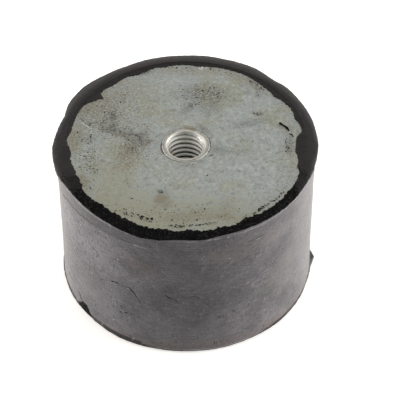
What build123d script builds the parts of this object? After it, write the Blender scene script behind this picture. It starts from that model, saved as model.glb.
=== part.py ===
from build123d import *
from math import radians, tan
import os

# Driving dimensions in millimetres
height = 50.0              # over the two rubber rims
side_radius = 37.4         # moulded side just above the foot
side_draft = 0.4           # how much wider the side is below the upper rim
mould_step = 0.15          # step left where the mould's top ring met its body
mould_step_drop = 6.5      # from the upper rim down to that step

rim_depth = 2.0            # height over which the upper rim flares out
rim_bevel_depth = 0.8      # trimmed bevel round the upper rim
rim_bevel_width = 0.9
foot_depth = 1.6           # height over which the side runs into the foot
foot_bevel_depth = 0.6     # trimmed bevel round the foot
foot_bevel_width = 0.6

rubber_skin = 1.5          # rubber round the edge of a plate
lip_thickness = 0.4        # rubber left lying on the face of a plate
lower_lip_reach = 1.6      # how far it reaches in over the lower plate, whose face is hidden

plate_thickness = 3.0

thread_diameter = 12.0     # M12 coarse
thread_pitch = 1.75
mouth_allowance = 0.15     # countersink beyond the thread's outer radius
bore_depth = 14.0          # from the bush's face to the drill's shoulder
drill_point_angle = 118.0
end_wall = 1.5             # steel left below the drill's point

spigot_wall = 1.15         # steel outside the thread where the bush passes the plate
spigot_crevice = 0.06      # gap between the bush and the hole in the plate
spigot_proud = 0.15        # how far the staked end stands above the plate
spigot_bevel = 0.25        # bevel round the staked end
collar_step = 2.8          # shoulder that the plate rests on
collar_chamfer = 1.0

# Knife cuts round the upper rim: angle in degrees from +X, and how far the rubber stands out there
rim_cuts = [
    (0, 1.0), (10, 0.85), (36, 0.85), (46, 0.35), (57, 1.0), (69, 1.05), (90, 0.6), (108, 0.8),
    (116, 0.7), (128, 0.9), (140, 1.6), (152, 1.25), (160, 0.3), (170, 0.5), (180, 1.15),
    (196, 1.1), (206, 0.35), (219, 0.45), (235, 0.8), (250, 1.4), (258, 1.4), (265, 0.85),
    (279, 1.05), (286, 0.65), (309, 0.7), (330, 0.4), (348, 0.4),
]

# The same round the foot, with a pointed tag of flash beside +X
foot_cuts = [
    (-5, 0.4), (1, 1.5), (6, 0.4), (21, 0.2), (46, 0.1), (70, 0.3), (99, 0.1), (128, 0.4),
    (155, 0.2), (180, 0.4), (200, 0.1), (212, 0.0), (224, -0.25), (236, 0.05), (258, -0.3),
    (272, -0.4), (284, -0.25), (300, -0.3), (316, 0.1), (330, 0.1), (344, 0.1),
]

# Ragged inner edge of the upper lip: angle, and how far the rubber reaches in over the plate's edge,
# for a corner and for the middle of the curve that follows it, in turn
lip_reach = [
    (344, 2.0), (350, 2.8), (354, 3.9), (359, 4.05), (365, 3.4), (367, 2.2), (368, 1.4), (373, 1.2),
    (378, 1.9), (387, 1.45), (397, 2.5), (404, 1.9), (410, 1.4), (420, 0.85), (430, 0.95), (438, 0.85),
    (444, 1.5), (451, 0.9), (460, 1.3), (468, 0.95), (475, 1.7), (481, 1.6), (490, 2.1), (494, 1.7),
    (498.5, 1.9), (499.5, 3.0), (500.5, 3.9), (505, 2.6), (510, 1.5), (517, 1.0), (525, 1.3), (529, 1.7),
    (532, 1.4), (536, 0.85), (540, 1.2), (544, 1.9), (549, 1.5), (556, 1.75), (564, 1.95), (568, 1.6),
    (571, 1.0), (575, 0.85), (578, 1.4), (588, 1.65), (603, 1.6), (612, 1.15), (620, 1.9), (625, 1.2),
    (630, 2.0), (637, 1.15), (645, 1.9), (652, 1.3), (660, 1.85), (665, 1.1), (670, 1.0), (685, 0.8),
    (699, 1.0), (702, 1.4),
]

# Sizes that follow from the ones above
mid_plane = Plane.XY.offset(height / 2)
plate_radius = side_radius - rubber_skin
plate_face = height - lip_thickness
plate_back = plate_face - plate_thickness
thread_radius = thread_diameter / 2
tap_radius = (thread_diameter - thread_pitch) / 2
mouth_radius = thread_radius + mouth_allowance
spigot_radius = thread_radius + spigot_wall
collar_radius = spigot_radius + collar_step
bush_face = plate_face + spigot_proud
bore_floor = bush_face - bore_depth
shoulder_radius = side_radius + side_draft + mould_step
step_radius = side_radius + side_draft
drill_point = bore_floor - tap_radius / tan(radians(drill_point_angle / 2))
bush_end = drill_point - end_wall


def rim_point(angle, radius):
    return Vector(radius, 0).rotate(Axis.Z, angle)


# A closed line of shallow arcs that meet where the knife was set down again
def trimmed_outline(radius, cuts):
    first_angle, first_stand_out = cuts[0]
    ends = cuts[1:] + [(first_angle + 360, first_stand_out)]
    for (start, stand_out), (end, next_stand_out) in zip(cuts, ends):
        ThreePointArc(
            rim_point(start, radius + stand_out),
            rim_point((start + end) / 2, radius + (stand_out + next_stand_out) / 2),
            rim_point(end, radius + next_stand_out),
        )


# The opening in the upper lip, through which the plate shows: curves that meet in corners
def ragged_outline():
    points = [rim_point(angle, plate_radius - reach) for angle, reach in lip_reach]
    for corner, middle, next_corner in zip(points[::2], points[1::2], points[2::2] + points[:1]):
        ThreePointArc(corner, middle, next_corner)


# The same points left on the moulded circle, where the trimmed rubber starts
def untrimmed(cuts):
    return [(angle, 0) for angle, stand_out in cuts]


# The disc as it is blanked, before its centre hole
with BuildPart() as plate_blank:
    with Locations((0, 0, plate_back)):
        Cylinder(plate_radius, plate_thickness, align=(Align.CENTER, Align.CENTER, Align.MIN))

# The bush as it is turned, before its hole is drilled
with BuildPart() as bush_blank:
    with BuildSketch(Plane.XZ):
        with BuildLine():
            Polyline(
                (0, bush_end),
                (collar_radius, bush_end),
                (collar_radius, plate_back),
                (spigot_radius, plate_back),
                (spigot_radius, bush_face),
                (0, bush_face),
                close=True,
            )
        make_face()
    revolve(axis=Axis.Z)
    chamfer(bush_blank.edges().group_by(Axis.Z)[0], collar_chamfer)
    chamfer(bush_blank.edges().group_by(Axis.Z)[-1], spigot_bevel)

with BuildPart() as top_plate:
    add(plate_blank)
    with Locations((0, 0, plate_face)):
        Hole(spigot_radius + spigot_crevice)
top_plate.part.label = "top_plate"

# A blind hole: tapping size, drill point below and countersink above
with BuildPart() as top_bush:
    add(bush_blank)
    with BuildSketch(Plane.XZ):
        with BuildLine():
            Polyline(
                (0, drill_point),
                (tap_radius, bore_floor),
                (tap_radius, bush_face - (mouth_radius - tap_radius)),
                (mouth_radius, bush_face),
                (0, bush_face),
                close=True,
            )
        make_face()
    revolve(axis=Axis.Z, mode=Mode.SUBTRACT)
top_bush.part.label = "top_bush"

with BuildPart() as bottom_plate:
    mirror(top_plate.part, about=mid_plane)
bottom_plate.part.label = "bottom_plate"

with BuildPart() as bottom_bush:
    mirror(top_bush.part, about=mid_plane)
bottom_bush.part.label = "bottom_bush"

# Rubber moulded round both ends' steel, then trimmed by hand
with BuildPart() as rubber_body:
    with BuildSketch(Plane.XZ):
        with BuildLine():
            Polyline(
                (0, foot_depth),
                (side_radius, foot_depth),
                (step_radius, height - mould_step_drop),
                (step_radius + mould_step, height - mould_step_drop + mould_step),
                (shoulder_radius, height - rim_depth),
                (0, height - rim_depth),
                close=True,
            )
        make_face()
    revolve(axis=Axis.Z)
    for level, radius, cuts in (
        (height - rim_depth, shoulder_radius, untrimmed(rim_cuts)),
        (height - rim_bevel_depth, shoulder_radius, rim_cuts),
        (height, shoulder_radius - rim_bevel_width, rim_cuts),
    ):
        with BuildSketch(Plane.XY.offset(level)):
            with BuildLine():
                trimmed_outline(radius, cuts)
            make_face()
    loft(ruled=True)
    for level, radius, cuts in (
        (0, side_radius - foot_bevel_width, foot_cuts),
        (foot_bevel_depth, side_radius, foot_cuts),
        (foot_depth, side_radius, untrimmed(foot_cuts)),
    ):
        with BuildSketch(Plane.XY.offset(level)):
            with BuildLine():
                trimmed_outline(radius, cuts)
            make_face()
    loft(ruled=True)
    for blank in (plate_blank, bush_blank):
        add(blank.part, mode=Mode.SUBTRACT)
        mirror(blank.part, about=mid_plane, mode=Mode.SUBTRACT)
    with BuildSketch(Plane.XY.offset(plate_face)):
        with BuildLine():
            ragged_outline()
        make_face()
    extrude(amount=lip_thickness, mode=Mode.SUBTRACT)
    with BuildSketch(Plane.XY):
        Circle(plate_radius - lower_lip_reach)
    extrude(amount=lip_thickness, mode=Mode.SUBTRACT)
rubber_body.part.label = "rubber_body"

# Each piece in its own file
os.makedirs("parts", exist_ok=True)
for piece in (rubber_body, top_plate, top_bush, bottom_plate, bottom_bush):
    export_step(piece.part, f"parts/{piece.part.label}.step")
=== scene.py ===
from math import atan2, cos, degrees, hypot, pi, radians, sin, tan
from random import Random

import bmesh
import bpy
from mathutils import Matrix, Vector, noise
from mathutils.bvhtree import BVHTree


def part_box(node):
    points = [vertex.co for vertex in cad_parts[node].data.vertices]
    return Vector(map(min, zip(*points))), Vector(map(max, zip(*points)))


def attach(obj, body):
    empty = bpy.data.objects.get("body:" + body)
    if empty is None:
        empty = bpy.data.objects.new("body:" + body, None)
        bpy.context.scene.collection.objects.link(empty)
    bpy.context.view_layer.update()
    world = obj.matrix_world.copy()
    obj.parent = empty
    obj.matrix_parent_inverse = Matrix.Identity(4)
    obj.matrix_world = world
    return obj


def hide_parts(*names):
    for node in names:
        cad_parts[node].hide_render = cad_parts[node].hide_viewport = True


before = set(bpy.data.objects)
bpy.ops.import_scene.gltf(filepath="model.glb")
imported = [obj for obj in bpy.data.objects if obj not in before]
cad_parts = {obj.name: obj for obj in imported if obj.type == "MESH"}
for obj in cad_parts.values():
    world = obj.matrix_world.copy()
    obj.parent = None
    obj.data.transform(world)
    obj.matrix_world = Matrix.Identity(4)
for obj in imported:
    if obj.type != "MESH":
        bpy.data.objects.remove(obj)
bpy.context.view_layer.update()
print("solids:", ", ".join(sorted(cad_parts)))

mm = 0.001

# Sizes that the solids give, in mm. Meshes are modelled in mm and scaled once at the end
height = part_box("rubber_body")[1].z / mm
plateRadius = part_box("top_plate")[1].x / mm
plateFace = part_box("top_plate")[1].z / mm
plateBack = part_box("top_plate")[0].z / mm
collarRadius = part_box("top_bush")[1].x / mm
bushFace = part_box("top_bush")[1].z / mm
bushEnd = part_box("top_bush")[0].z / mm
sideRadius = 37.4       # moulded side just above the foot
shoulderRadius = 37.95  # the same below the upper rim
stepRise = 0.15         # step left by the mould's top ring
stepLevel = 43.5
stepBlend = 6           # height over which the side meets that step where it has worn away
rimFlare = 48.4         # where the upper rim starts to stand out
rimEdge = 48.8          # where it stands out in full
footFlare = 1.6
toolMark = 6.62         # radius of the groove that the staking tool left in the bush's face


def onCircle(angle, radius, level=0.0):
    return Vector((radius * cos(angle), radius * sin(angle), level))


def smoothstep(low, high, value):
    share = min(max((value - low) / (high - low), 0.0), 1.0)
    return share * share * (3 - 2 * share)


def waves(point, size, seed=0):
    # Smooth noise from -1 to 1 with lumps of about that size in mm
    return noise.noise(point / size + Vector((seed * 7.3, seed * 3.1, seed * 5.7)))


def linear(hexColour):
    # sRGB hex to the linear colour that a shader takes
    channels = [int(hexColour[i:i + 2], 16) / 255 for i in (1, 3, 5)]
    return [c / 12.92 if c <= 0.04045 else ((c + 0.055) / 1.055) ** 2.4 for c in channels] + [1.0]


def addNode(tree, kind, inputs=None, **settings):
    # Adds a node, sets its options, then fills its sockets. A node given as a value is linked by its first
    # live output
    node = tree.nodes.new(kind)
    for option, value in settings.items():
        setattr(node, option, value)
    for socket, value in (inputs or {}).items():
        if isinstance(value, bpy.types.Node):
            value = next(output for output in value.outputs if output.enabled)
        if isinstance(value, bpy.types.NodeSocket):
            tree.links.new(value, node.inputs[socket])
        else:
            node.inputs[socket].default_value = value
    return node


def newMaterial(name):
    material = bpy.data.materials.new(name)
    material.use_nodes = True
    material.node_tree.nodes.clear()
    return material, material.node_tree


def patternScale(size):
    # Texture scale for a pattern of that size in mm
    return 1 / (size * mm)


def layer(tree, colour, tone, pattern, low, high, strength=1.0):
    # Lays a tone over the colour, from none where the pattern is low to its full strength where it is high
    share = addNode(tree, "ShaderNodeMapRange", {
        "Value": pattern, "From Min": low, "From Max": high, "To Max": strength,
    }, interpolation_type="SMOOTHSTEP")
    return addNode(tree, "ShaderNodeMix", {0: share, 6: colour, 7: linear(tone)}, data_type="RGBA")


def patch(tree, where, ragged, centre, size, turn, strength=1.0, fade=0.5):
    # Share of a patch: an ellipse given in mm and degrees with a ragged edge
    local = addNode(tree, "ShaderNodeMapping", {
        "Vector": where,
        "Location": [coordinate * mm for coordinate in centre],
        "Rotation": (0, 0, radians(turn)),
        "Scale": (size[0] * mm, size[1] * mm, 10 * mm),  # so deep that it stays on its own end of the buffer
    }, vector_type="TEXTURE")
    distance = addNode(tree, "ShaderNodeVectorMath", {0: local}, operation="LENGTH")
    depth = addNode(tree, "ShaderNodeMath", {0: ragged, 1: distance}, operation="SUBTRACT")
    return addNode(tree, "ShaderNodeMapRange", {
        "Value": depth, "From Min": -1 - fade, "From Max": -1 + fade, "To Max": strength,
    }, interpolation_type="SMOOTHSTEP")


def axisDistance(tree, where):
    # The separate coordinates, and the distance from the buffer's axis
    axes = addNode(tree, "ShaderNodeSeparateXYZ", {0: where})
    flat = addNode(tree, "ShaderNodeCombineXYZ", {0: axes.outputs[0], 1: axes.outputs[1]})
    return axes.outputs, addNode(tree, "ShaderNodeVectorMath", {0: flat}, operation="LENGTH")


def finish(name, bm, materials, replaced=(), sharpAngle=40):
    # Turns a bmesh in mm into a piece of the object, with a sharp edge where two materials meet
    bmesh.ops.scale(bm, vec=(mm, mm, mm), verts=bm.verts)
    bm.edges.index_update()
    borders = [
        edge.index for edge in bm.edges if len({face.material_index for face in edge.link_faces}) > 1
    ]
    mesh = bpy.data.meshes.new(name)
    bm.to_mesh(mesh)
    bm.free()
    mesh.shade_smooth()
    mesh.set_sharp_from_angle(angle=radians(sharpAngle))
    for border in borders:
        mesh.edges[border].use_edge_sharp = True
    for material in materials:
        mesh.materials.append(material)
    piece = bpy.data.objects.new(name, mesh)
    bpy.context.collection.objects.link(piece)
    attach(piece, "root")
    if replaced:
        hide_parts(*replaced)
    print(name, len(mesh.polygons), "faces")
    return piece


# Camera: a long lens, 46 degrees above the horizontal
cameraSettings = {
    "elevation": 45.74,     # degrees
    "distance": 791.6,      # mm from the middle of the buffer
    "lens": 238.0,
    "roll": -0.6,
    "shift": (0.0339, 0.0094),
}


def addCamera(settings):
    data = bpy.data.cameras.new("camera")
    data.lens = settings["lens"]
    data.shift_x, data.shift_y = settings["shift"]
    camera = bpy.data.objects.new("camera", data)
    bpy.context.collection.objects.link(camera)
    tilt = radians(settings["elevation"])
    away = settings["distance"] * mm
    place = Matrix.Translation((0, -away * cos(tilt), height / 2 * mm + away * sin(tilt)))
    turn = Matrix.Rotation(pi / 2 - tilt, 4, "X") @ Matrix.Rotation(radians(settings["roll"]), 4, "Z")
    camera.matrix_world = place @ turn
    bpy.context.scene.camera = camera


addCamera(cameraSettings)


# Studio: a white sweep all round and overhead, dim only behind the camera, and a strip of softbox low down
# each side of the buffer
studio = {
    "softboxes": {          # place and size in mm, power in watts
        "leftSoftbox": ((-620, 40, 58), (520, 110), 8.8),
        "rightSoftbox": ((620, 0, 58), (520, 110), 11.4),
    },
    "sweepColour": "#fffbf6",
    "sweepGlow": 1.0,
    "roomShare": 0.15,      # how much of it is left behind the camera
    "roomEdge": (-0.7, -0.25),  # along Y, from the dim room to the full sweep, of a direction 1 long
    "floorColour": "#f4f4f3",
    "floorLift": 0.4,       # added to the paper where the camera or a reflection sees it
    "floorSize": 1500,
    "floorDrop": 0.03,      # keeps the paper clear of the foot, which would else lie in its plane
}


def addStudio(settings):
    target = Vector((0, 0, height / 2))
    for name, (place, size, power) in settings["softboxes"].items():
        data = bpy.data.lights.new(name, "AREA")
        data.shape = "RECTANGLE"
        data.size, data.size_y = size[0] * mm, size[1] * mm
        data.energy = power
        lamp = bpy.data.objects.new(name, data)
        bpy.context.collection.objects.link(lamp)
        lamp.matrix_world = (
            Matrix.Translation(Vector(place) * mm)
            @ (Vector(place) - target).to_track_quat("Z", "Y").to_matrix().to_4x4()
        )

    world = bpy.data.worlds.new("studio")
    bpy.context.scene.world = world
    world.use_nodes = True
    tree = world.node_tree
    tree.nodes.clear()
    path = addNode(tree, "ShaderNodeLightPath")
    seen = addNode(tree, "ShaderNodeMath", {
        0: path.outputs["Is Camera Ray"], 1: path.outputs["Is Transmission Ray"],
    }, operation="MAXIMUM")
    around = addNode(tree, "ShaderNodeTexCoord").outputs["Generated"]
    direction = addNode(tree, "ShaderNodeSeparateXYZ", {0: around})
    glow = addNode(tree, "ShaderNodeMapRange", {
        "Value": direction.outputs[1],
        "From Min": settings["roomEdge"][0], "From Max": settings["roomEdge"][1],
        "To Min": settings["sweepGlow"] * settings["roomShare"], "To Max": settings["sweepGlow"],
    }, interpolation_type="SMOOTHSTEP")
    light = addNode(tree, "ShaderNodeBackground", {
        "Color": addNode(tree, "ShaderNodeMix", {
            0: seen, 6: linear(settings["sweepColour"]), 7: (1, 1, 1, 1),
        }, data_type="RGBA"),
        "Strength": addNode(tree, "ShaderNodeMath", {0: seen, 1: glow}, operation="MAXIMUM"),
    })
    addNode(tree, "ShaderNodeOutputWorld", {"Surface": light})

    # White paper that shows as white to the camera and still takes the shadow
    material, tree = newMaterial("whitePaper")
    path = addNode(tree, "ShaderNodeLightPath")
    paper = addNode(tree, "ShaderNodeBsdfDiffuse", {"Color": linear(settings["floorColour"])})
    seen = addNode(tree, "ShaderNodeMath", {
        0: path.outputs["Is Camera Ray"], 1: path.outputs["Is Glossy Ray"],
    }, operation="MAXIMUM")
    lift = addNode(tree, "ShaderNodeEmission", {
        "Color": linear(settings["sweepColour"]),
        "Strength": addNode(tree, "ShaderNodeMath", {
            0: seen, 1: settings["floorLift"],
        }, operation="MULTIPLY"),
    })
    both = addNode(tree, "ShaderNodeAddShader", {0: paper, 1: lift})
    addNode(tree, "ShaderNodeOutputMaterial", {"Surface": both})
    bm = bmesh.new()
    below = Matrix.Translation((0, 0, -settings["floorDrop"] * mm))
    bmesh.ops.create_grid(bm, x_segments=1, y_segments=1, size=settings["floorSize"] * mm, matrix=below)
    mesh = bpy.data.meshes.new("paper")
    bm.to_mesh(mesh)
    bm.free()
    mesh.materials.append(material)
    paper = bpy.data.objects.new("paper", mesh)
    bpy.context.collection.objects.link(paper)


addStudio(studio)
bpy.context.scene.view_settings.view_transform = "Standard"
print("camera and studio done")


# Natural rubber, compression moulded: black under a thin grey bloom, with the mould's soft sheen
mouldedLook = {
    "bloom": ("#333135", "#434144"),
    "pale": "#686569",
    "bare": "#1b1a1b",     # where the bloom is rubbed off or the rubber is torn; also the painted shade on the strip above the mould's step, at the step and in the slits
    "brownCast": "#4e443e",
    "oliveCast": "#47473e",
    "dust": "#a9a5a0",
    "roughness": (0.26, 0.38),
    "sheen": 0.36,         # the bloom is a fine powder, which brightens the side where it turns away
    "sheenTint": "#fff9f4",
    "shine": 0.2,
    # Size in mm, how many times wider than high, detail, roughness. The grain is drawn coarser than the real
    # one, so that it shows
    "patterns": {
        "clouds": (9.0, 1, 6, 0.55), "mottle": (1.6, 1, 4, 0.7), "grain": (0.5, 1, 2, 0.6),
        "pits": (0.6, 1, 2, 0.5), "streaks": (2.6, 6, 3, 0.65), "drags": (0.55, 0.4, 2, 0.5),
    },
    "layers": [            # tone, pattern, where on it the tone starts and is complete, strength
        ("pale", "mottle", 0.5, 0.75, 0.45), ("pale", "streaks", 0.52, 0.75, 0.4),
        ("bare", "streaks", 0.48, 0.3, 0.45), ("bare", "grain", 0.5, 0.68, 0.42),
    ],
    "casts": [             # tone, place along the side and level in mm, half size in mm, strength, fading
        ("brownCast", (-74, 36), (4, 3), 0.3, 0.5), ("brownCast", (-40, 41), (9, 4), 0.25, 0.5),
        ("oliveCast", (-29, 20), (6, 8), 0.25, 0.5), ("brownCast", (-60, 2), (40, 2.5), 0.5, 0.5),
        # The second pale cast, low at the front, is a painted light: the side is drawn lighter towards its
        # foot, where light falls on it from the front
        ("pale", (-94, 34), (16, 7), 0.25, 0.6), ("pale", (-60, 8), (26, 6), 0.25, 0.9),
    ],
    "dragged": ((-99, 32), (11, 13), 0.09),  # dragged over grit there: place, half size, how much more
}


def mouldedRubber(look):
    material, tree = newMaterial("mouldedRubber")
    where = addNode(tree, "ShaderNodeTexCoord").outputs["Object"]
    axes = addNode(tree, "ShaderNodeSeparateXYZ", {0: where})
    angle = addNode(tree, "ShaderNodeMath", {0: axes.outputs[1], 1: axes.outputs[0]}, operation="ARCTAN2")
    along = addNode(tree, "ShaderNodeMath", {0: angle, 1: sideRadius * mm}, operation="MULTIPLY")
    unrolled = addNode(tree, "ShaderNodeCombineXYZ", {0: along, 1: axes.outputs[2]})
    patterns = {
        name: addNode(tree, "ShaderNodeTexNoise", {
            "Vector": addNode(tree, "ShaderNodeMapping", {"Vector": where, "Scale": (1, 1, widening)}),
            "Scale": patternScale(size), "Detail": detail, "Roughness": roughness,
        })
        for name, (size, widening, detail, roughness) in look["patterns"].items()
    }
    ragged = addNode(tree, "ShaderNodeMapRange", {"Value": patterns["clouds"], "To Min": -1.5, "To Max": 1.5})

    colour = layer(tree, linear(look["bloom"][0]), look["bloom"][1], patterns["clouds"], 0.35, 0.65)
    for tone, pattern, low, high, strength in look["layers"]:
        colour = layer(tree, colour, look[tone], patterns[pattern], low, high, strength)
    for tone, place, size, strength, fade in look["casts"]:
        cast = patch(tree, unrolled, ragged, (*place, 0), size, 0, strength, fade)
        colour = addNode(tree, "ShaderNodeMix", {0: cast, 6: colour, 7: linear(look[tone])}, data_type="RGBA")
    place, size, share = look["dragged"]
    dragged = patch(tree, unrolled, ragged, (*place, 0), size, 0, share)
    drags = addNode(tree, "ShaderNodeMath", {0: patterns["drags"], 1: dragged})
    colour = layer(tree, colour, look["bare"], drags, 0.62, 0.7, 0.95)
    colour = layer(tree, colour, look["dust"], patterns["pits"], 0.275, 0.235, 0.9)
    # The mark turns the colour to bare rubber where the rubber is torn, and paints shade on the strip above
    # the mould's step, at the step and in the slits
    mark = addNode(tree, "ShaderNodeAttribute", attribute_name="mark").outputs["Fac"]
    colour = layer(tree, colour, look["bare"], mark, 0.0, 1.0)

    relief = addNode(tree, "ShaderNodeMath", {
        0: patterns["mottle"], 1: 2.0, 2: patterns["grain"],
    }, operation="MULTIPLY_ADD")
    relief = addNode(tree, "ShaderNodeMath", {
        0: patterns["streaks"], 1: 1.5, 2: relief,
    }, operation="MULTIPLY_ADD")
    surface = addNode(tree, "ShaderNodeBsdfPrincipled", {
        "Base Color": colour,
        "Roughness": addNode(tree, "ShaderNodeMapRange", {
            "Value": patterns["mottle"], "From Min": 0.3, "From Max": 0.7,
            "To Min": look["roughness"][0], "To Max": look["roughness"][1],
        }),
        "IOR": 1.52,
        "Specular IOR Level": look["shine"],
        "Sheen Weight": look["sheen"],
        "Sheen Roughness": 0.32,
        "Sheen Tint": linear(look["sheenTint"]),
        "Normal": addNode(tree, "ShaderNodeBump", {"Strength": 0.4, "Distance": 0.15 * mm, "Height": relief}),
    })
    addNode(tree, "ShaderNodeOutputMaterial", {"Surface": surface})
    return material


# The same rubber where the flash was taken off, jet black as it has no moulded skin: satin where a knife
# cut it, matt and crumbly where it tore
cutLook = {
    "black": ("#080708", "#181617"),
    "edge": "#363335",        # painted light: the outer edge is painted lighter, and lighter still at the back, for its rim's highlight and the light from behind; the inner part stays darker
    "edgeRadius": (37.2, 40.0),
    "paintedBackLight": 0.055,
    "roughness": (0.4, 0.6),
    "shine": 0.26,
    "relief": (0.6, 0.15),    # strength and depth in mm
    "torn": (0.45, 3, 0.7),   # size in mm, detail, roughness
    "sweeps": (3.5, 4, 0.55),
}
roughLook = {  # where the cut gives way to the tear
    **cutLook,
    "black": ("#050405", "#1c1a1b"),
    "edge": "#242125",
    "roughness": (0.55, 0.75),
    "shine": 0.15,
    "relief": (0.8, 0.25),
}
tornLook = {
    **cutLook,
    "black": ("#040404", "#252324"),
    "edge": "#0e0d0e",
    "roughness": (0.7, 0.9),
    "shine": 0.05,
    "relief": (1.0, 0.35),
    "torn": (0.65, 3, 0.7),
}


def rawRubber(name, look):
    material, tree = newMaterial(name)
    where = addNode(tree, "ShaderNodeTexCoord").outputs["Object"]
    torn, sweeps = (
        addNode(tree, "ShaderNodeTexNoise", {
            "Vector": where, "Scale": patternScale(size), "Detail": detail, "Roughness": roughness,
        })
        for size, detail, roughness in (look["torn"], look["sweeps"])
    )
    relief = addNode(tree, "ShaderNodeMath", {0: sweeps, 1: 2.0, 2: torn}, operation="MULTIPLY_ADD")
    axes, fromAxis = axisDistance(tree, where)
    # Painted light: the edge tone grows outward from the lip, and further towards the back, where the light
    # from behind falls on the band
    outward = addNode(tree, "ShaderNodeMath", {0: sweeps, 1: 4 * mm, 2: fromAxis}, operation="MULTIPLY_ADD")
    outward = addNode(tree, "ShaderNodeMath", {
        0: axes[1], 1: look["paintedBackLight"], 2: outward,
    }, operation="MULTIPLY_ADD")
    inner, outer = look["edgeRadius"]
    colour = layer(tree, linear(look["black"][0]), look["edge"], outward, (inner + 2) * mm, (outer + 2) * mm)
    colour = layer(tree, colour, look["black"][1], torn, 0.52, 0.64)
    surface = addNode(tree, "ShaderNodeBsdfPrincipled", {
        "Base Color": colour,
        "Roughness": addNode(tree, "ShaderNodeMapRange", {
            "Value": sweeps, "From Min": 0.35, "From Max": 0.65,
            "To Min": look["roughness"][0], "To Max": look["roughness"][1],
        }),
        "IOR": 1.52,
        "Specular IOR Level": look["shine"],
        "Normal": addNode(tree, "ShaderNodeBump", {
            "Strength": look["relief"][0], "Distance": look["relief"][1] * mm, "Height": relief,
        }),
    })
    addNode(tree, "ShaderNodeOutputMaterial", {"Surface": surface})
    return material


mouldedMaterial = mouldedRubber(mouldedLook)
cutMaterial = rawRubber("cutRubber", cutLook)
roughMaterial = rawRubber("roughRubber", roughLook)
tornMaterial = rawRubber("tornRubber", tornLook)


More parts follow.
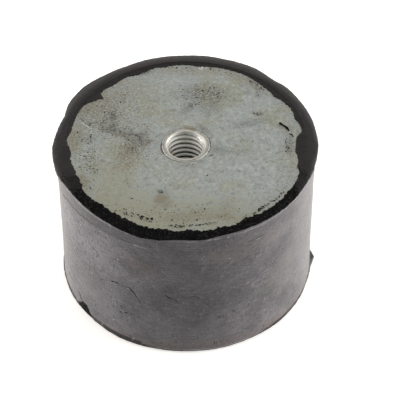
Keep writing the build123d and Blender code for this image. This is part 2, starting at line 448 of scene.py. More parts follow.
# Zinc-plated steel disc: dull grey plating, faintly blue or olive, with stains, grime in its pits and specks
# of rubber
plateLook = {
    "zinc": "#979e9d",
    "olive": "#8f907e",
    "pale": "#c2c6c1",
    "brown": "#7b7561",
    "grime": "#4d4c46",
    "rust": "#766e58",
    "speck": "#1d1b1a",
    "roughness": (0.42, 0.6),
    "metallic": 0.4,
    "patterns": {  # size in mm, detail, roughness. The crystals' grain is drawn coarser than it is, to show
        "clouds": (13, 5, 0.55), "lumps": (2.6, 5, 0.66), "mottle": (1.3, 4, 0.66), "grain": (0.55, 2, 0.6),
        "specks": (0.6, 2, 0.5),
    },
    "layers": [    # tone, pattern, where on it the tone starts and is complete, strength
        ("olive", "clouds", 0.46, 0.62, 0.6), ("pale", "lumps", 0.48, 0.7, 0.36),
        ("pale", "mottle", 0.52, 0.72, 0.3), ("brown", "mottle", 0.5, 0.32, 0.35),
        ("grime", "lumps", 0.46, 0.32, 0.3),
    ],
    "nearRubber": (29, 35, 0.5),  # where dirt from the rubber starts and is complete, in mm, and how much
    "speckled": [  # where the plating is pitted: centre and half size in mm, turn in degrees
        ((-23.5, 13.5), (12.0, 10.0), -20), ((-16.0, -3.0), (5.0, 7.0), 0), ((5.3, 21.5), (7.0, 4.0), 0),
        ((-29.0, -6.0), (4.0, 9.0), 0), ((-6, -28), (14, 3.5), 0),
    ],
    "darkGrain": (0.18, 0.9),   # how much the grain shows on clean and on pitted plating
    "paleGrain": (0.16, 0.42),
    "onGrain": (0.35, 1.4),     # how much of a stain shows on the pale grain and on the dark
    "speckFrom": (0.695, 0.74),  # where on their pattern the specks of rubber start and are complete
    "speckGain": (0.45, 0.11),  # how much pitted plating adds to the grime, and grime to the specks
    # Painted shade in the crevice round the bush: how it grows sideways and outwards, where it starts and is
    # complete
    "crevice": (24.0, -400.0, -2.34, -2.26),
    "stains": [    # tone, centre and half size in mm, turn in degrees, strength
        ("olive", (0, -28), (22, 6.5), 0, 0.62),
        ("olive", (-20, -20), (13, 7.0), -35, 0.5),
        ("brown", (-25, 13.0), (11.0, 8.0), -20, 0.38),
        ("brown", (-17.5, 23), (7.5, 5.0), 25, 0.35),
        ("brown", (-16.2, -2.0), (7.0, 3.6), 69, 0.65),
        ("brown", (-33.2, 1.5), (1.8, 3.8), 0, 0.6),
        ("brown", (-29.6, -14.8), (1.8, 3.0), 25, 0.8),
        ("rust", (-7, -22), (2.1, 3.1), 10, 0.7),
        ("brown", (3, -29.0), (10.0, 2.6), 0, 0.6),
        ("brown", (11, -26), (4.0, 2.0), 60, 0.35),
        ("brown", (4, 32.0), (13.0, 2.0), 0, 0.45),
        ("brown", (19, 27), (6.0, 2.4), -40, 0.45),
        ("brown", (1.2, 7.4), (1.8, 0.45), -8, 0.9),
        ("grime", (5.6, 6.4), (2.6, 0.8), -48, 0.5),
        ("grime", (-21.7, 12.3), (1.5, 2.2), 0, 0.7),
        ("grime", (-20.3, 6.4), (8.0, 1.8), -24, 0.6),
        ("grime", (-14.4, 1.2), (4.4, 2.2), 60, 0.45),
        ("grime", (-26, 17.0), (6.5, 3.2), 30, 0.15),
        ("grime", (5.3, 21.6), (6.2, 3.4), -6, 0.5),
        ("grime", (6.9, 15.4), (3.2, 2.4), 0, 0.35),
        ("grime", (0.6, 15.4), (2.8, 1.3), 50, 0.45),
        ("grime", (19.4, 9.2), (5.4, 1.2), 16, 0.4),
        ("grime", (9.2, -2.0), (2.6, 1.6), -20, 0.4),
        ("grime", (15.6, -2.8), (3.8, 1.3), 0, 0.25),
        ("grime", (30.3, -0.5), (1.1, 3.4), 0, 0.5),
        ("grime", (-7.2, -19), (0.9, 0.7), 0, 0.8),
        ("grime", (21.7, 12.8), (1.2, 0.7), 20, 0.7),
        ("grime", (21.7, 21.0), (0.8, 1.3), 20, 0.5),
        ("grime", (0.8, -8.6), (2.8, 0.8), 0, 0.3),
        ("grime", (-29.0, 3.0), (3.0, 1.4), -20, 0.3),
        ("grime", (-27.6, -7.5), (1.6, 4.5), 20, 0.2),
        ("grime", (-11.8, 31.2), (2.4, 0.7), 15, 0.5),
        ("grime", (-24.5, 24.5), (4.5, 0.9), 40, 0.35),
        ("grime", (21.5, 24.5), (2.6, 0.9), -50, 0.35),
        ("pale", (5.2, 33.0), (1.2, 0.5), -8, 0.8),
    ],
    "scratches": [
        ("pale", (-29.7, 9.0), (2.4, 0.13), -47, 0.9),
        ("grime", (-8.4, -13.2), (5.2, 0.09), -52, 0.45),
        ("speck", (7.3, -4.4), (0.8, 0.28), 27, 0.8),
    ],
}


def paintedCreviceShade(tree, axes, fromAxis, pattern, look):
    # Painted shade on one side of the crevice round the bush, thickest at its left and right: node, start and
    # end
    across, outward, low, high = look["crevice"]
    gapShade = addNode(tree, "ShaderNodeMath", {0: axes[0]}, operation="ABSOLUTE")
    gapShade = addNode(tree, "ShaderNodeMath", {0: gapShade, 1: across, 2: pattern}, operation="MULTIPLY_ADD")
    gapShade = addNode(tree, "ShaderNodeMath", {0: fromAxis, 1: outward, 2: gapShade}, operation="MULTIPLY_ADD")
    return gapShade, low, high


def zincPlating(look):
    material, tree = newMaterial("zincPlating")
    where = addNode(tree, "ShaderNodeTexCoord").outputs["Object"]
    axes, fromAxis = axisDistance(tree, where)
    patterns = {
        name: addNode(tree, "ShaderNodeTexNoise", {
            "Vector": where, "Scale": patternScale(size), "Detail": detail, "Roughness": roughness,
        })
        for name, (size, detail, roughness) in look["patterns"].items()
    }
    ragged = addNode(tree, "ShaderNodeMapRange", {"Value": patterns["lumps"], "To Min": -2.0, "To Max": 2.0})

    colour = linear(look["zinc"])
    for tone, pattern, low, high, strength in look["layers"]:
        colour = layer(tree, colour, look[tone], patterns[pattern], low, high, strength)
    start, end, share = look["nearRubber"]
    nearRubber = addNode(tree, "ShaderNodeMapRange", {
        "Value": fromAxis, "From Min": start * mm, "From Max": end * mm, "To Max": share,
    }, interpolation_type="SMOOTHSTEP")
    speckled = nearRubber
    for centre, size, turn in look["speckled"]:
        share = patch(tree, where, ragged, (*centre, plateFace), size, turn)
        speckled = addNode(tree, "ShaderNodeMath", {0: speckled, 1: share}, operation="MAXIMUM")
    darkGrain, paleGrain = (
        addNode(tree, "ShaderNodeMapRange", {"Value": speckled, "To Min": clean, "To Max": pitted})
        for clean, pitted in (look["darkGrain"], look["paleGrain"])
    )
    colour = layer(tree, colour, look["grime"], patterns["grain"], 0.5, 0.72, darkGrain)
    colour = layer(tree, colour, look["pale"], patterns["grain"], 0.47, 0.3, paleGrain)
    film = addNode(tree, "ShaderNodeMath", {
        0: nearRubber, 1: 0.35, 2: patterns["lumps"],
    }, operation="MULTIPLY_ADD")
    colour = layer(tree, colour, look["brown"], film, 0.62, 0.82, 0.4)

    # Brown stains and grime lie thicker on the dark grain, so the grain shows through them
    onGrain = addNode(tree, "ShaderNodeMapRange", {
        "Value": patterns["grain"], "From Min": 0.35, "From Max": 0.65,
        "To Min": look["onGrain"][0], "To Max": look["onGrain"][1],
    })
    fromPits, fromGrime = look["speckGain"]
    grimy = addNode(tree, "ShaderNodeMath", {0: speckled, 1: fromPits}, operation="MULTIPLY")
    for tone, centre, size, turn, strength in look["stains"]:
        share = patch(tree, where, ragged, (*centre, plateFace), size, turn, strength, fade=0.8)
        if tone == "grime":
            grimy = addNode(tree, "ShaderNodeMath", {0: grimy, 1: share})
        if tone in ("grime", "brown"):
            share = addNode(tree, "ShaderNodeMath", {
                0: share, 1: onGrain,
            }, operation="MULTIPLY", use_clamp=True)
        colour = addNode(tree, "ShaderNodeMix", {
            0: share, 6: colour, 7: linear(look[tone]),
        }, data_type="RGBA")
    for tone, centre, size, turn, strength in look["scratches"]:
        share = patch(tree, where, 0.0, (*centre, plateFace), size, turn, strength)
        colour = addNode(tree, "ShaderNodeMix", {
            0: share, 6: colour, 7: linear(look[tone]),
        }, data_type="RGBA")

    # Specks of rubber: sparse everywhere, thicker in the grime and near the rubber
    speckWhere = addNode(tree, "ShaderNodeMath", {
        0: grimy, 1: fromGrime, 2: patterns["specks"],
    }, operation="MULTIPLY_ADD")
    colour = layer(tree, colour, look["speck"], speckWhere, *look["speckFrom"], 0.9)
    # Painted shade in the crevice round the bush, in the rubber specks' tone
    gapShade = paintedCreviceShade(tree, axes, fromAxis, patterns["clouds"], look)
    colour = layer(tree, colour, look["speck"], *gapShade, 0.8)
    surface = addNode(tree, "ShaderNodeBsdfPrincipled", {
        "Base Color": colour,
        "Roughness": addNode(tree, "ShaderNodeMapRange", {
            "Value": patterns["mottle"], "From Min": 0.3, "From Max": 0.7,
            "To Min": look["roughness"][0], "To Max": look["roughness"][1],
        }),
        "Metallic": look["metallic"],
        "Normal": addNode(tree, "ShaderNodeBump", {
            "Strength": 0.4, "Distance": 0.05 * mm, "Height": patterns["grain"],
        }),
    })
    addNode(tree, "ShaderNodeOutputMaterial", {"Surface": surface})
    return material


plateMaterial = zincPlating(plateLook)


# Bush: free-cutting steel, turned, zinc plated and tapped. Its face is as dull as the disc, and its bevel,
# countersink and thread keep their tools' polish
bushLook = {
    "face": "#acaca6",
    "stain": "#86837a",
    "cone": "#bfbfb9",
    "thread": "#eeefea",
    "paintedShade": "#242320",       # painted shade in the thread's roots and down the bore, in the crevice round the bush and in the staking tool's groove
    "rust": "#857a60",
    "roughness": (0.65, 0.44),  # of the face and of what is polished
    "metallic": (0.2, 0.8),
    "threadAndShadeFrom": (0.5, 0.9),  # depth in mm where the thread's tone and its painted shade start and where they are complete
    "polishedFrom": (0.02, 0.3),  # the same for the polish
    "coneFrom": (6.1, 5.8),   # radius in mm where the countersink's tone starts and is complete
    "rootsFrom": (5.7, 6.1),  # the same for the painted shade in the thread's roots, at its mouth
    "shadeRise": 0.05,          # how much further in the painted shade comes for each mm of depth, so the bore darkens downwards
    "toolMark": (0.14, 0.5),  # painted shade in the staking tool's groove: half width in mm, strength
    "crevice": (60.0, 900.0, 7.24, 7.36),  # as on the disc
    "rusted": ((0.9, 6.8), (1.6, 0.6), -6, 0.8),  # centre and half size in mm, turn in degrees, strength
    "mottle": (1.2, 4, 0.6),  # size in mm, detail, roughness
    "ringSpacing": 0.25,      # turning marks, drawn coarser than the real ones, so that they show
}


def turnedSteel(look):
    material, tree = newMaterial("turnedSteel")
    where = addNode(tree, "ShaderNodeTexCoord").outputs["Object"]
    axes, fromAxis = axisDistance(tree, where)
    size, detail, roughness = look["mottle"]
    mottle = addNode(tree, "ShaderNodeTexNoise", {
        "Vector": where, "Scale": patternScale(size), "Detail": detail, "Roughness": roughness,
    })
    rings = addNode(tree, "ShaderNodeTexWave", {
        "Vector": where, "Scale": patternScale(look["ringSpacing"]) / 20, "Distortion": 0.6,
    }, wave_type="RINGS", rings_direction="Z")
    # Depth below the bush's face, at either end of the buffer
    fromMiddle = addNode(tree, "ShaderNodeMath", {0: axes[2], 1: height / 2 * mm}, operation="SUBTRACT")
    towardsEnd = addNode(tree, "ShaderNodeMath", {0: fromMiddle}, operation="ABSOLUTE")
    belowMouth, polished = (
        addNode(tree, "ShaderNodeMapRange", {
            "Value": towardsEnd,
            "From Min": (bushFace - start - height / 2) * mm,
            "From Max": (bushFace - end - height / 2) * mm,
        })
        for start, end in (look["threadAndShadeFrom"], look["polishedFrom"])
    )
    colour = layer(tree, linear(look["face"]), look["stain"], mottle, 0.45, 0.7, 0.7)
    ragged = addNode(tree, "ShaderNodeMapRange", {"Value": mottle, "To Min": -2.0, "To Max": 2.0})
    centre, size, turn, strength = look["rusted"]
    rust = patch(tree, where, ragged, (*centre, bushFace), size, turn, strength)
    colour = addNode(tree, "ShaderNodeMix", {0: rust, 6: colour, 7: linear(look["rust"])}, data_type="RGBA")
    start, end = look["coneFrom"]
    colour = layer(tree, colour, look["cone"], fromAxis, start * mm, end * mm)
    colour = layer(tree, colour, look["thread"], belowMouth, 0.0, 1.0)
    # Painted shade in the staking tool's groove
    halfWidth, strength = look["toolMark"]
    beside = addNode(tree, "ShaderNodeMath", {0: fromAxis, 1: toolMark * mm}, operation="SUBTRACT")
    beside = addNode(tree, "ShaderNodeMath", {0: beside}, operation="ABSOLUTE")
    colour = layer(tree, colour, look["paintedShade"], beside, halfWidth * mm, 0.0, strength)
    # Painted shade fills the roots, and more of the thread the deeper it lies
    shadeRise = look["shadeRise"]
    depth = addNode(tree, "ShaderNodeMath", {
        0: towardsEnd, 1: -shadeRise, 2: fromAxis,
    }, operation="MULTIPLY_ADD")
    roots = addNode(tree, "ShaderNodeMath", {0: belowMouth, 1: depth}, operation="MULTIPLY")
    fullDepth = shadeRise * (bushFace - height / 2)
    start, end = look["rootsFrom"]
    colour = layer(tree, colour, look["paintedShade"], roots, (start - fullDepth) * mm, (end - fullDepth) * mm, 0.95)
    # Painted shade on the bush's side of the crevice
    gapShade = paintedCreviceShade(tree, axes, fromAxis, mottle, look)
    colour = layer(tree, colour, look["paintedShade"], *gapShade, 0.8)
    surface = addNode(tree, "ShaderNodeBsdfPrincipled", {
        "Base Color": colour,
        "Metallic": addNode(tree, "ShaderNodeMapRange", {
            "Value": polished, "To Min": look["metallic"][0], "To Max": look["metallic"][1],
        }),
        "Roughness": addNode(tree, "ShaderNodeMapRange", {
            "Value": polished, "To Min": look["roughness"][0], "To Max": look["roughness"][1],
        }),
        "Normal": addNode(tree, "ShaderNodeBump", {"Strength": 0.2, "Distance": 0.02 * mm, "Height": rings}),
    })
    addNode(tree, "ShaderNodeOutputMaterial", {"Surface": surface})
    return material


bushMaterial = turnedSteel(bushLook)
print("materials done")


# The trimmed outlines are read from the solid, so that the mesh follows it
solidTree = BVHTree.FromObject(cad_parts["rubber_body"], bpy.context.evaluated_depsgraph_get())


def outlineFromSolid(level, fromAxis, segments):
    # Radius in mm all round at that level, of the first wall met from the axis or from outside
    radii = []
    startRadius = 0 if fromAxis else 2 * sideRadius
    for step in range(segments):
        outward = onCircle(2 * pi * step / segments, 1.0)
        start = onCircle(2 * pi * step / segments, startRadius, level) * mm
        hit = solidTree.ray_cast(start, outward if fromAxis else -outward)[0]
        radii.append(hypot(hit.x, hit.y) / mm)
    return radii


def between(value, points):
    # Height at that value of a line through points
    for (start, low), (end, high) in zip(points, points[1:]):
        if value <= end:
            return low + (high - low) * (value - start) / (end - start)


def distanceToPath(point, path):
    distances = []
    for start, end in zip(path, path[1:]):
        along = end - start
        share = min(max((point - start).dot(along) / along.length_squared, 0), 1)
        distances.append((point - start - along * share).length)
    return min(distances)


rubber = {
    "segments": 720,
    "lipReach": 1.5,        # mm, how far the lip reaches in before its edge is made ragged
    "lipEdge": 0.1,         # thickness of its torn edge
    "lipSlope": 1.3,        # over which it thickens
    "crumble": 0.42,        # raggedness of that edge
    "bandFall": 0.45,       # how far the trimmed band falls before it rounds over
    "rawDepth": 1.15,       # how far down the knife went
    "frontCorner": 0.6,     # how much sharper the corner is in front, as a share
    "rimTouch": [           # how much further out than the solid the knife left the rim: angle and mm
        (-180, 0.1), (-160, 0.1), (-144, -0.2), (-126, -0.2), (-111, 0.2), (-100, -0.2), (-92, -0.5),
        (-84, -0.2), (-77, -0.6), (-56, -0.4), (-42, -0.12), (-24, -0.05), (-16, 0.25), (-4, -0.05),
        (8, 0.05), (20, 0.25), (30, 0.2), (41, 0.6), (48, 0.25), (58, 0.55), (72, 0.45), (80, 0.75),
        (96, 0.75), (108, 0.65), (114, 0.45), (138, 0.5), (150, 0.35), (157, 0.05), (168, 0.15), (180, 0.1),
    ],
    "lipTouch": [           # the same for how far the lip reaches in
        (-180, 0.3), (-150, 0.2), (-130, -0.1), (-104, -0.4), (-90, -0.1), (-80, -0.3), (-72, -0.8),
        (-62, -0.2), (-48, -0.4), (-24, -0.2), (-16, 0.15), (0, -0.3), (14, 0.2), (28, -0.1), (42, 0.3),
        (56, 0.4), (70, 0.3), (78, 0.8), (86, 0.4), (104, 0.6), (114, 0.9), (120, 0.1), (138, 0.3),
        (141, 0.3), (146, 0.0), (150, -0.2), (162, 0.4), (168, -0.1), (180, 0.3),
    ],
    "dents": 0.06,          # depth of the side's faint dents
    "slitField": ((-112, -34), (2, 47)),  # part of the side that has slits: along it and up it, in mm
    "slitMargin": 1.3,      # mm of finer mesh beside a slit
    "slitBlack": 0.14,      # a slit that deep shows no bloom, and is painted black for the shade inside it
    "slits": [  # depth and half width, then angle and level of each point
        (0.45, 0.34, [(-125.6, 24.3), (-122.1, 24.7)]),
        (0.14, 0.24, [(-131.5, 22.7), (-125.6, 24.2)]),
        (0.12, 0.26, [(-122.1, 24.7), (-116.6, 24.7)]),
        (0.18, 0.24, [(-116.6, 24.7), (-115.1, 23.9), (-113.9, 22.8)]),
        (0.11, 0.24, [(-113.9, 22.8), (-111.3, 19.8)]),
        (0.24, 0.26, [(-121.8, 15.1), (-120.6, 14.8)]),
        (0.30, 0.26, [(-121.9, 12.4), (-120.9, 12.4)]),
        (0.30, 0.26, [(-119.4, 13.0), (-118.1, 13.1)]),
        (0.14, 0.22, [(-116.6, 13.5), (-115.2, 13.6)]),
        (0.20, 0.26, [(-99.7, 25.3), (-98.4, 24.4), (-97.2, 23.8)]),
        (0.14, 0.24, [(-96.0, 23.9), (-94.2, 22.7)]),
        (0.14, 0.24, [(-88.9, 24.9), (-87.1, 25.3), (-84.9, 24.1)]),
        (0.14, 0.26, [(-83.1, 22.4), (-79.5, 19.8)]),
        (0.26, 0.26, [(-150.6, 6.6), (-148.0, 5.3)]),
        (0.26, 0.28, [(-164.0, 8.4), (-155.7, 8.3), (-151.4, 8.3)]),
        (0.14, 0.18, [(-60.5, 43.6), (-56.0, 42.6)]),
        (0.05, 0.24, [(-160.0, 44.2), (-146.0, 44.7), (-137.0, 45.0)]),
    ],
    "stepLine": [  # angle and level of the mould's step, which runs out of true at the left
        (-180, 43.6), (-172, 41.0), (-163, 41.2), (-156, 42.6), (-147, 43.5), (-129, 44.3), (-115, 44.2),
        (-95, 43.6), (180, 43.6),
    ],
    "sharpStep": (-172, -164, -118, -100),  # angles: it is worn away outside them and sharp inside
    "stripShade": (0.45, 1.0),  # painted shade at the left, as a share of the bare tone: on the strip above the step, and at the step itself
    "gouge": (-145.0, 6.2, 4.8, 0.15),  # torn foot: middle and half width in degrees, height and depth in mm
    "rawFoot": [  # how high the trimming went: angle and level
        (-180, 1.6), (-166, 2.1), (-150, 2.1), (-134, 2.1), (-122, 2.2), (-112, 1.9), (-100, 1.1),
        (-75, 0.6), (-65, 0.8), (-55, 1.1), (-43, 1.8), (-31, 1.9), (-15, 1.8), (-6, 2.0), (-2, 3.4),
        (4, 3.4), (8, 1.4), (90, 0.9), (150, 1.0), (180, 1.6),
    ],
}


def inFront(angle, start=-0.1, end=-0.75):
    # 1 on the side that faces the camera, 0 at the sides and behind
    return smoothstep(start, end, sin(angle))


def rubberSection(settings):
    # Half of the section, from the upper bush's end round to the lower one's: radius, level, and how many
    # cuts the line after it has
    lipRadius = plateRadius - settings["lipReach"]
    lipTop = lipRadius + settings["lipSlope"]
    lowFace, lowBack, lowEnd = height - plateFace, height - plateBack, height - bushEnd
    fall = settings["bandFall"]
    return [
        (0, bushEnd, 0), (collarRadius - 1, bushEnd, 0), (collarRadius, bushEnd + 1, 0),
        (collarRadius, plateBack, 1), (plateRadius, plateBack, 1), (plateRadius, plateFace, 2),
        (lipRadius, plateFace, 0), (lipRadius, plateFace + settings["lipEdge"], 4),
        (lipTop, height - 0.05, 0), (plateRadius - 0.3, height, 1),
        (plateRadius + 0.5, height - fall * 0.3, 1),
        (shoulderRadius - 0.9, height - fall * 0.65, 0), (shoulderRadius - 0.6, height - fall, 0),
        (shoulderRadius - 0.35, height - fall - 0.12, 0),
        (shoulderRadius - 0.18, height - fall - 0.22, 0),
        (shoulderRadius - 0.05, height - fall - 0.36, 0), (shoulderRadius, height - fall - 0.5, 3),
        (shoulderRadius, rimFlare, 8),
        (shoulderRadius, stepLevel + stepRise, 0), (sideRadius + 0.4, stepLevel, 12),
        (sideRadius + 0.32, 34, 18), (sideRadius, 12, 12), (sideRadius, footFlare, 3),
        (sideRadius, 0.6, 0), (sideRadius - 0.15, 0.25, 0), (sideRadius - 0.6, 0, 6),
        (lipTop, 0, 3), (lipRadius, lowFace - settings["lipEdge"], 0), (lipRadius, lowFace, 2),
        (plateRadius, lowFace, 1), (plateRadius, lowBack, 1), (collarRadius, lowBack, 0),
        (collarRadius, lowEnd - 1, 0), (collarRadius - 1, lowEnd, 0), (0, lowEnd, 0),
    ]


def trimRubber(bm, settings):
    # The lip's ragged edge, the trimmed rim and the trimmed foot
    segments = settings["segments"]
    lowFace = height - plateFace
    lipRadius = plateRadius - settings["lipReach"]
    lips, rims = (  # of the lower end and of the upper one
        [outlineFromSolid(level, fromAxis, segments) for level in levels]
        for fromAxis, levels in ((True, (0.2, plateFace + 0.2)), (False, (0.6, height - 0.8)))
    )
    for vert in bm.verts:
        radius, level = hypot(vert.co.x, vert.co.y), vert.co.z
        if radius < lipRadius - 0.1:
            continue
        angle = atan2(vert.co.y, vert.co.x)
        step = round(angle / (2 * pi) * segments) % segments
        upper = level > height / 2
        front = inFront(angle) if upper else 0
        if radius < plateRadius - 0.001 and (level > plateFace - 0.01 or level < lowFace + 0.01):
            share = (plateRadius - radius) / settings["lipReach"]
            edge = onCircle(angle, plateRadius, 0 if upper else 90)
            crumbs = waves(edge, 1.2, 1) * 0.7 + waves(edge, 0.5, 2) * 0.7
            reach = plateRadius - lips[upper][step] + crumbs * settings["crumble"] * (0.8 + 0.9 * front)
            if upper:
                reach += between(degrees(angle), settings["lipTouch"])
            radius = plateRadius - share * max(reach, 0.4)
            if abs(level - height) < 0.3:
                level += waves(onCircle(angle, radius), 1.1, 5) * 0.06
        elif radius > plateRadius + 0.001 and (level > rimFlare or level < footFlare):
            nominal = shoulderRadius if upper else sideRadius
            flare = smoothstep(footFlare, 0.6, level)
            if upper:
                flare = min((level - rimFlare) / (rimEdge - rimFlare), 1)
            nick = waves(onCircle(angle, 38, level * 0.3), 1.6, 3) * 0.1
            nick += waves(onCircle(angle, 38), 0.7, 4) * 0.04
            touch = between(degrees(angle), settings["rimTouch"]) if upper else 0
            grow = (rims[upper][step] - nominal + nick + touch) * flare
            radius += grow * min((radius - plateRadius) / (nominal - plateRadius), 1)
            if level > height - 1:
                level += (height - level) * settings["frontCorner"] * front
                level += waves(onCircle(angle, radius), 2.4, 6) * 0.05 * smoothstep(1, 0.5, height - level)
        vert.co = onCircle(angle, radius, level)


def wearSide(bm, settings):
    # Dents, slits and scuffs in the moulded side, the torn place at its foot, and the painted shade on the
    # strip above the mould's step
    markLayer = bm.verts.layers.float.new("mark")
    slits = [
        (depth, width, [Vector((radians(angle) * sideRadius, level)) for angle, level in points])
        for depth, width, points in settings["slits"]
    ]

    def nearestSlits(vert):
        place = Vector((atan2(vert.co.y, vert.co.x) * sideRadius, vert.co.z))
        inField = all(low < along < high for along, (low, high) in zip(place, settings["slitField"]))
        if not inField or hypot(vert.co.x, vert.co.y) < plateRadius + 0.5:
            return []
        return [(depth, width, distanceToPath(place, path)) for depth, width, path in slits]

    margin = settings["slitMargin"]
    near = {vert for vert in bm.verts if any(away < width + margin for _, width, away in nearestSlits(vert))}
    lines = [edge for edge in bm.edges if edge.verts[0] in near and edge.verts[1] in near]
    bmesh.ops.subdivide_edges(bm, edges=lines, cuts=5, use_grid_fill=True)

    middle, halfWidth, gougeHeight, gougeDepth = settings["gouge"]
    wornLeft, sharpLeft, sharpRight, wornRight = settings["sharpStep"]
    onStrip, atStep = settings["stripShade"]
    for vert in bm.verts:
        radius, level = hypot(vert.co.x, vert.co.y), vert.co.z
        if radius < plateRadius + 0.5 or not 0.01 < level < height - 1.1:
            continue
        angle = atan2(vert.co.y, vert.co.x)
        place = onCircle(angle, sideRadius, level)
        dent = waves(place, 14, 7) + 0.5 * waves(place, 5, 8)
        awayFromEnds = smoothstep(footFlare, 5, level) * smoothstep(height - 2, height - 5, level)
        radius += settings["dents"] * dent * awayFromEnds
        # The mould's step is sharp at the left and fades away elsewhere
        sharp = smoothstep(wornLeft, sharpLeft, degrees(angle))
        sharp *= smoothstep(wornRight, sharpRight, degrees(angle))
        if stepLevel - stepBlend < level < stepLevel + 0.05:
            radius += stepRise * (1 - sharp) * smoothstep(stepLevel - stepBlend, stepLevel, level)
        mark = 0.0
        # Painted shade: the strip above the mould's step at the left is darkened, most of all along the step
        # itself
        if level > stepLevel + 0.05:
            nearStep = smoothstep(stepLevel + 0.6, stepLevel + 0.2, level)
            mark = sharp * (onStrip + (atStep - onStrip) * nearStep)
        bend = smoothstep(stepLevel - stepBlend, stepLevel, level)
        bend *= smoothstep(height - 2, stepLevel + stepRise, level)
        level += (between(degrees(angle), settings["stepLine"]) - stepLevel) * bend
        # A slit's mark is bare rubber together with painted shade inside the slit
        for depth, width, away in nearestSlits(vert):
            away += 0.07 * waves(place, 0.6, 9)
            groove = smoothstep(width, 0, away)
            radius -= depth * groove
            mark = max(mark, min(groove * depth / settings["slitBlack"], 1))
        torn = 1 - ((degrees(angle) - middle) / halfWidth) ** 2 - (level / gougeHeight) ** 2
        torn += 0.3 * waves(place, 1.3, 10)
        if torn > 0:
            radius -= gougeDepth * smoothstep(0, 0.45, torn)
            mark = 1.0
        vert.co = onCircle(angle, radius, level)
        vert[markLayer] = mark
    return markLayer


def rubberBody(settings):
    section = rubberSection(settings)
    bm = bmesh.new()
    chain = []
    for (radius, level, cuts), (nextRadius, nextLevel, _) in zip(section, section[1:] + section[-1:]):
        start, end = Vector((radius, 0, level)), Vector((nextRadius, 0, nextLevel))
        chain += [bm.verts.new(start.lerp(end, cut / (cuts + 1))) for cut in range(cuts + 1)]
    for start, end in zip(chain, chain[1:]):
        bm.edges.new((start, end))
    bmesh.ops.spin(bm, geom=bm.verts[:] + bm.edges[:], cent=(0, 0, 0), axis=(0, 0, 1), dvec=(0, 0, 0),
                   angle=2 * pi, steps=settings["segments"], use_merge=True, use_duplicate=False)
    bmesh.ops.remove_doubles(bm, verts=bm.verts, dist=0.0001)
    bmesh.ops.recalc_face_normals(bm, faces=bm.faces)

    trimRubber(bm, settings)
    for face in bm.faces:  # raw rubber: torn in front, and cut with a knife elsewhere
        middle = face.calc_center_median()
        angle = atan2(middle.y, middle.x)
        rawDepth = settings["rawDepth"] * (1 - settings["frontCorner"] * inFront(angle))
        rawFoot = between(degrees(angle), settings["rawFoot"]) + 0.3 * waves(middle, 2.5, 13)
        if not max(rawFoot, 0.65) < middle.z < height - rawDepth:
            torn = inFront(angle, -0.15) + 0.25 * waves(middle, 2.4, 11) + 0.15 * waves(middle, 0.5, 12)
            face.material_index = 1 + (torn > 0.3) + (torn > 0.6) if middle.z > height / 2 else 1
    markLayer = wearSide(bm, settings)
    # Where the mark is full the face takes the black torn rubber: the torn gouge, and the deep slits with
    # their painted shade
    for face in bm.faces:
        if sum(vert[markLayer] for vert in face.verts) > 0.9 * len(face.verts):
            face.material_index = 3
    return bm


rubberMaterials = [mouldedMaterial, cutMaterial, roughMaterial, tornMaterial]
finish("moulded_rubber", rubberBody(rubber), rubberMaterials, ["rubber_body"])


# Crumbs of rubber that the trimming left on the disc, and two thin curls
crumbs = {
    "seed": 4,
    "size": 0.45,           # largest crumb in mm
    "flatness": (0.4, 0.7),  # height, length and width as shares of the size
    "length": (1.0, 1.7),
    "width": (0.6, 1.0),
    "lumps": (0.8, 1.15),   # how far each corner is pulled in or out
    "turn": 0.7,            # radians either way from the rim's line
    "clear": 8,             # radius in mm that stays clean round the hole
    "clusters": [           # middle in mm, half length along the rim and half width across it, how many
        ((-14.2, -28.7), (4.8, 0.9), 40), ((-12.2, -29.4), (2.6, 0.5), 18), ((-18.2, -27.0), (2.4, 0.6), 10),
        ((-2.9, -32.9), (2.6, 0.5), 22), ((2.0, -32.6), (5.0, 0.35), 26), ((6.5, -31.9), (3.0, 0.4), 12),
        ((16.4, -30.0), (3.0, 0.4), 14), ((19.0, -28.1), (2.6, 0.4), 20), ((22.6, -25.0), (2.4, 0.35), 22),
        ((26.3, -21.6), (2.6, 0.35), 22), ((0.0, -30.5), (16.0, 2.0), 12), ((29.9, -0.6), (3.4, 0.7), 16),
        ((-29.0, 3.1), (2.2, 1.6), 14), ((-27.3, -7.0), (5.0, 1.6), 10), ((-31.6, 5.9), (0.4, 0.3), 5),
        ((-24.0, 25.8), (4.0, 0.6), 20), ((-12.0, 31.4), (4.0, 0.5), 12), ((21.4, 26.2), (2.6, 0.7), 12),
        ((22.3, 23.2), (0.8, 1.0), 5), ((4.0, 33.0), (12.0, 0.6), 14), ((20.8, 12.9), (1.0, 0.4), 6),
        ((-21.6, 12.2), (1.4, 1.2), 9), ((-7.2, -19.0), (0.7, 0.5), 7), ((0.0, -8.0), (30.0, 20.0), 10),
    ],
    "single": [(-27.6, -17.3), (-15.6, -21.7), (6.1, -12.6), (5.2, -26.2), (-19.3, 18.5)],
    "curls": [              # place and radius of each point, in mm
        [
            (27.6, 8.7, 0.2), (27.9, 8.5, 0.34), (28.5, 8.0, 0.2), (29.2, 7.3, 0.28), (29.9, 6.4, 0.36),
            (30.4, 5.5, 0.2),
        ],
        [(30.3, 4.2, 0.08), (30.8, 4.1, 0.16), (31.2, 3.7, 0.18), (31.5, 3.0, 0.12)],
    ],
}


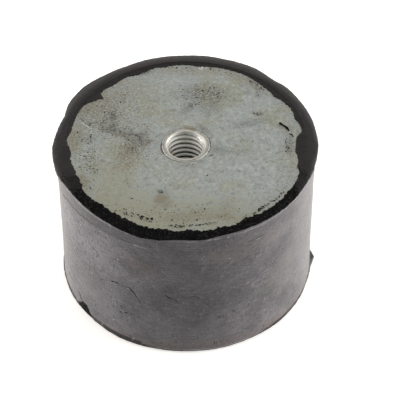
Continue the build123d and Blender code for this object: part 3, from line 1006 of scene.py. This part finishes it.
def addCrumb(bm, draw, settings, angle, radius, size):
    crumb = bmesh.ops.create_icosphere(bm, subdivisions=1, radius=size / 2)["verts"]
    flatness = draw.uniform(*settings["flatness"])
    shape = (draw.uniform(*settings["length"]), draw.uniform(*settings["width"]), flatness)
    bmesh.ops.scale(bm, vec=shape, verts=crumb)
    for vert in crumb:
        vert.co *= draw.uniform(*settings["lumps"])
    turn = Matrix.Rotation(angle + pi / 2 + draw.uniform(-1, 1) * settings["turn"], 3, "Z")
    bmesh.ops.rotate(bm, cent=(0, 0, 0), matrix=turn, verts=crumb)
    bmesh.ops.translate(bm, vec=onCircle(angle, radius, plateFace + size * flatness * 0.4), verts=crumb)


def addCurl(bm, points):
    rings = []
    path = [Vector((x, y, plateFace + 0.8 * thickness)) for x, y, thickness in points]
    for index, (_, _, thickness) in enumerate(points):
        forward = path[min(index + 1, len(path) - 1)] - path[max(index - 1, 0)]
        place = Matrix.Translation(path[index]) @ forward.to_track_quat("Z", "Y").to_matrix().to_4x4()
        ring = bmesh.ops.create_circle(bm, segments=8, radius=thickness, matrix=place)["verts"]
        rings.append(list({edge for vert in ring for edge in vert.link_edges}))
    for ring, nextRing in zip(rings, rings[1:]):
        bmesh.ops.bridge_loops(bm, edges=ring + nextRing)
    bmesh.ops.holes_fill(bm, edges=rings[0] + rings[-1], sides=0)


def looseRubber(settings):
    draw = Random(settings["seed"])
    lipEdge = outlineFromSolid(plateFace + 0.2, True, 360)
    bm = bmesh.new()
    for (x, y), (halfLength, halfWidth), count in settings["clusters"]:
        for _ in range(count):
            radius = hypot(x, y) + draw.uniform(-1, 1) * halfWidth
            angle = atan2(y, x) + draw.uniform(-1, 1) * halfLength / radius
            size = settings["size"] * draw.uniform(0.45, 1.0) ** 1.6
            if settings["clear"] < radius < lipEdge[round(degrees(angle)) % 360] - size:
                addCrumb(bm, draw, settings, angle, radius, size)
    for x, y in settings["single"]:
        addCrumb(bm, draw, settings, atan2(y, x), hypot(x, y), settings["size"])
    for points in settings["curls"]:
        addCurl(bm, points)
    bmesh.ops.recalc_face_normals(bm, faces=bm.faces)
    return bm


finish("rubber_crumbs", looseRubber(crumbs), [tornMaterial])


# Bush with its real thread, right-handed M12 x 1.75
bush = {
    "pitch": 1.75,
    "minor": 5.09,          # radius inside the thread's crests
    "major": 6.03,
    "mouth": 5.85,
    "boreRadius": 5.125,
    "boreDepth": 14.0,
    "runout": 1.2,          # plain bore left above the drill's shoulder
    "drillAngle": 118.0,
    "spigot": 7.15,
    "segments": 128,
    "phase": 0.3,           # how far the thread is wound up, in mm
}


def ringBeyond(bm, edges, radius, level):
    # Extrudes a loop of edges to a new radius and level
    grown = bmesh.ops.extrude_edge_only(bm, edges=edges)["geom"]
    for vert in grown:
        if isinstance(vert, bmesh.types.BMVert):
            vert.co = onCircle(atan2(vert.co.y, vert.co.x), radius, level)
    return [edge for edge in grown if isinstance(edge, bmesh.types.BMEdge)]


def threadedBush(settings):
    pitch, segments = settings["pitch"], settings["segments"]
    minor, major, spigot = settings["minor"], settings["major"], settings["spigot"]
    boreRadius = settings["boreRadius"]
    boreFloor = bushFace - settings["boreDepth"]
    threadEnd = boreFloor + settings["runout"]
    turn = [  # one turn of the thread's outline: radius and share of the pitch
        (minor, 0.0), (minor, 0.22), (minor + 0.06, 0.27),
        (major - 0.1, 0.53), (major, 0.58), (major, 0.66),
        (major - 0.1, 0.71), (minor + 0.06, 0.96),
    ]
    bm = bmesh.new()
    turns = int(settings["boreDepth"] / pitch) + 3
    chain = [
        bm.verts.new((radius, 0, threadEnd + (count - 2.5 + share) * pitch + settings["phase"]))
        for count in range(turns) for radius, share in turn
    ]
    for start, end in zip(chain, chain[1:]):
        bm.edges.new((start, end))
    bmesh.ops.spin(bm, geom=bm.verts[:] + bm.edges[:], cent=(0, 0, 0), axis=(0, 0, 1),
                   dvec=(0, 0, pitch / segments), angle=2 * pi, steps=segments, use_merge=False)
    bmesh.ops.remove_doubles(bm, verts=bm.verts, dist=0.0005)
    for level, above in ((bushFace, True), (threadEnd, False)):
        bmesh.ops.bisect_plane(bm, geom=bm.verts[:] + bm.edges[:] + bm.faces[:], plane_co=(0, 0, level),
                               plane_no=(0, 0, 1), clear_outer=above, clear_inner=not above)
    for vert in bm.verts:  # the countersink cuts the first threads away
        cone = settings["mouth"] - (bushFace - vert.co.z)
        if hypot(vert.co.x, vert.co.y) < cone:
            vert.co = onCircle(atan2(vert.co.y, vert.co.x), cone, vert.co.z)
    rims = [edge for edge in bm.edges if edge.is_boundary]
    upper = [edge for edge in rims if edge.verts[0].co.z > bushFace - 0.001]
    lower = [edge for edge in rims if edge.verts[0].co.z < threadEnd + 0.001]

    drillPoint = boreFloor - boreRadius / tan(radians(settings["drillAngle"] / 2))
    for radius, level in (
        (boreRadius, threadEnd - 0.3), (boreRadius, boreFloor), (0, drillPoint),
    ):
        lower = ringBeyond(bm, lower, radius, level)
    for radius, level in (
        (major + 0.12, bushFace), (toolMark - 0.08, bushFace), (toolMark, bushFace - 0.07),
        (toolMark + 0.08, bushFace), (spigot - 0.3, bushFace),
        (spigot - 0.12, bushFace - 0.06), (spigot, bushFace - 0.25),
        (spigot, plateBack), (collarRadius, plateBack), (collarRadius, bushEnd + 1),
        (collarRadius - 1, bushEnd), (0, bushEnd),
    ):
        upper = ringBeyond(bm, upper, radius, level)
    bmesh.ops.remove_doubles(bm, verts=bm.verts, dist=0.0005)
    bmesh.ops.recalc_face_normals(bm, faces=bm.faces)
    return bm


topBush = threadedBush(bush)
bottomBush = topBush.copy()
bmesh.ops.rotate(bottomBush, cent=(0, 0, height / 2), matrix=Matrix.Rotation(pi, 3, "X"),
                 verts=bottomBush.verts)
finish("upper_threaded_bush", topBush, [bushMaterial], ["top_bush"], 30)
finish("lower_threaded_bush", bottomBush, [bushMaterial], ["bottom_bush"], 30)


for node in ("top_plate", "bottom_plate"):
    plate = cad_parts[node]
    plate.data.materials.clear()
    plate.data.materials.append(plateMaterial)
print("plates done")
